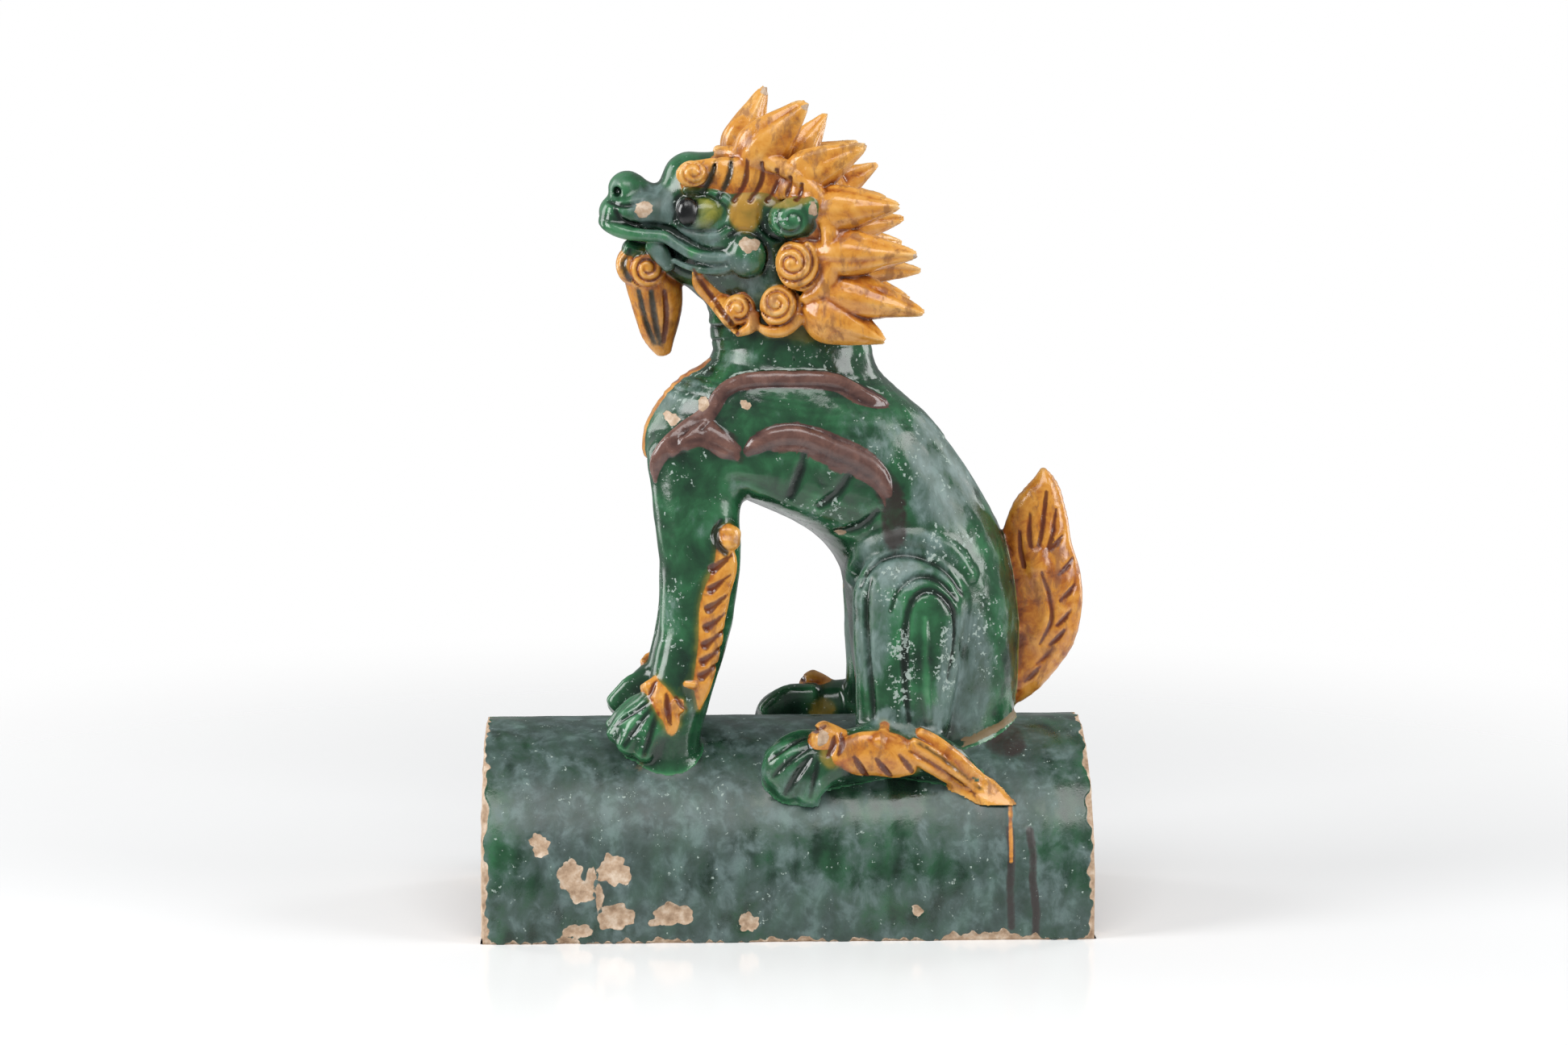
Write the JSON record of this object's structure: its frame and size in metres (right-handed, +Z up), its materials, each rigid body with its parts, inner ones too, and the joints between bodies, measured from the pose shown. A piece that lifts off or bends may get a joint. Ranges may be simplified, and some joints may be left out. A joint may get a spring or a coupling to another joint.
{
  "type": "ridge beast ornament",
  "caption": "Glazed ceramic roof-ridge ornament: a seated maned lion-dog on a half-round ridge tile, fired in one piece, green and amber glaze.",
  "frame": {"origin": "middle of the tile, at the level of its two lower edges", "axes": "+Z up; X runs along the tile and the ridge, with the beast facing -X; Y is across the ridge"},
  "size_m": [0.2623, 0.136, 0.3604],
  "materials": {
    "glazed_body": "glossy, weathered"
  },
  "bodies": {
    "root": {"ridge_beast": "glazed_body"}
  },
  "joints": []
}
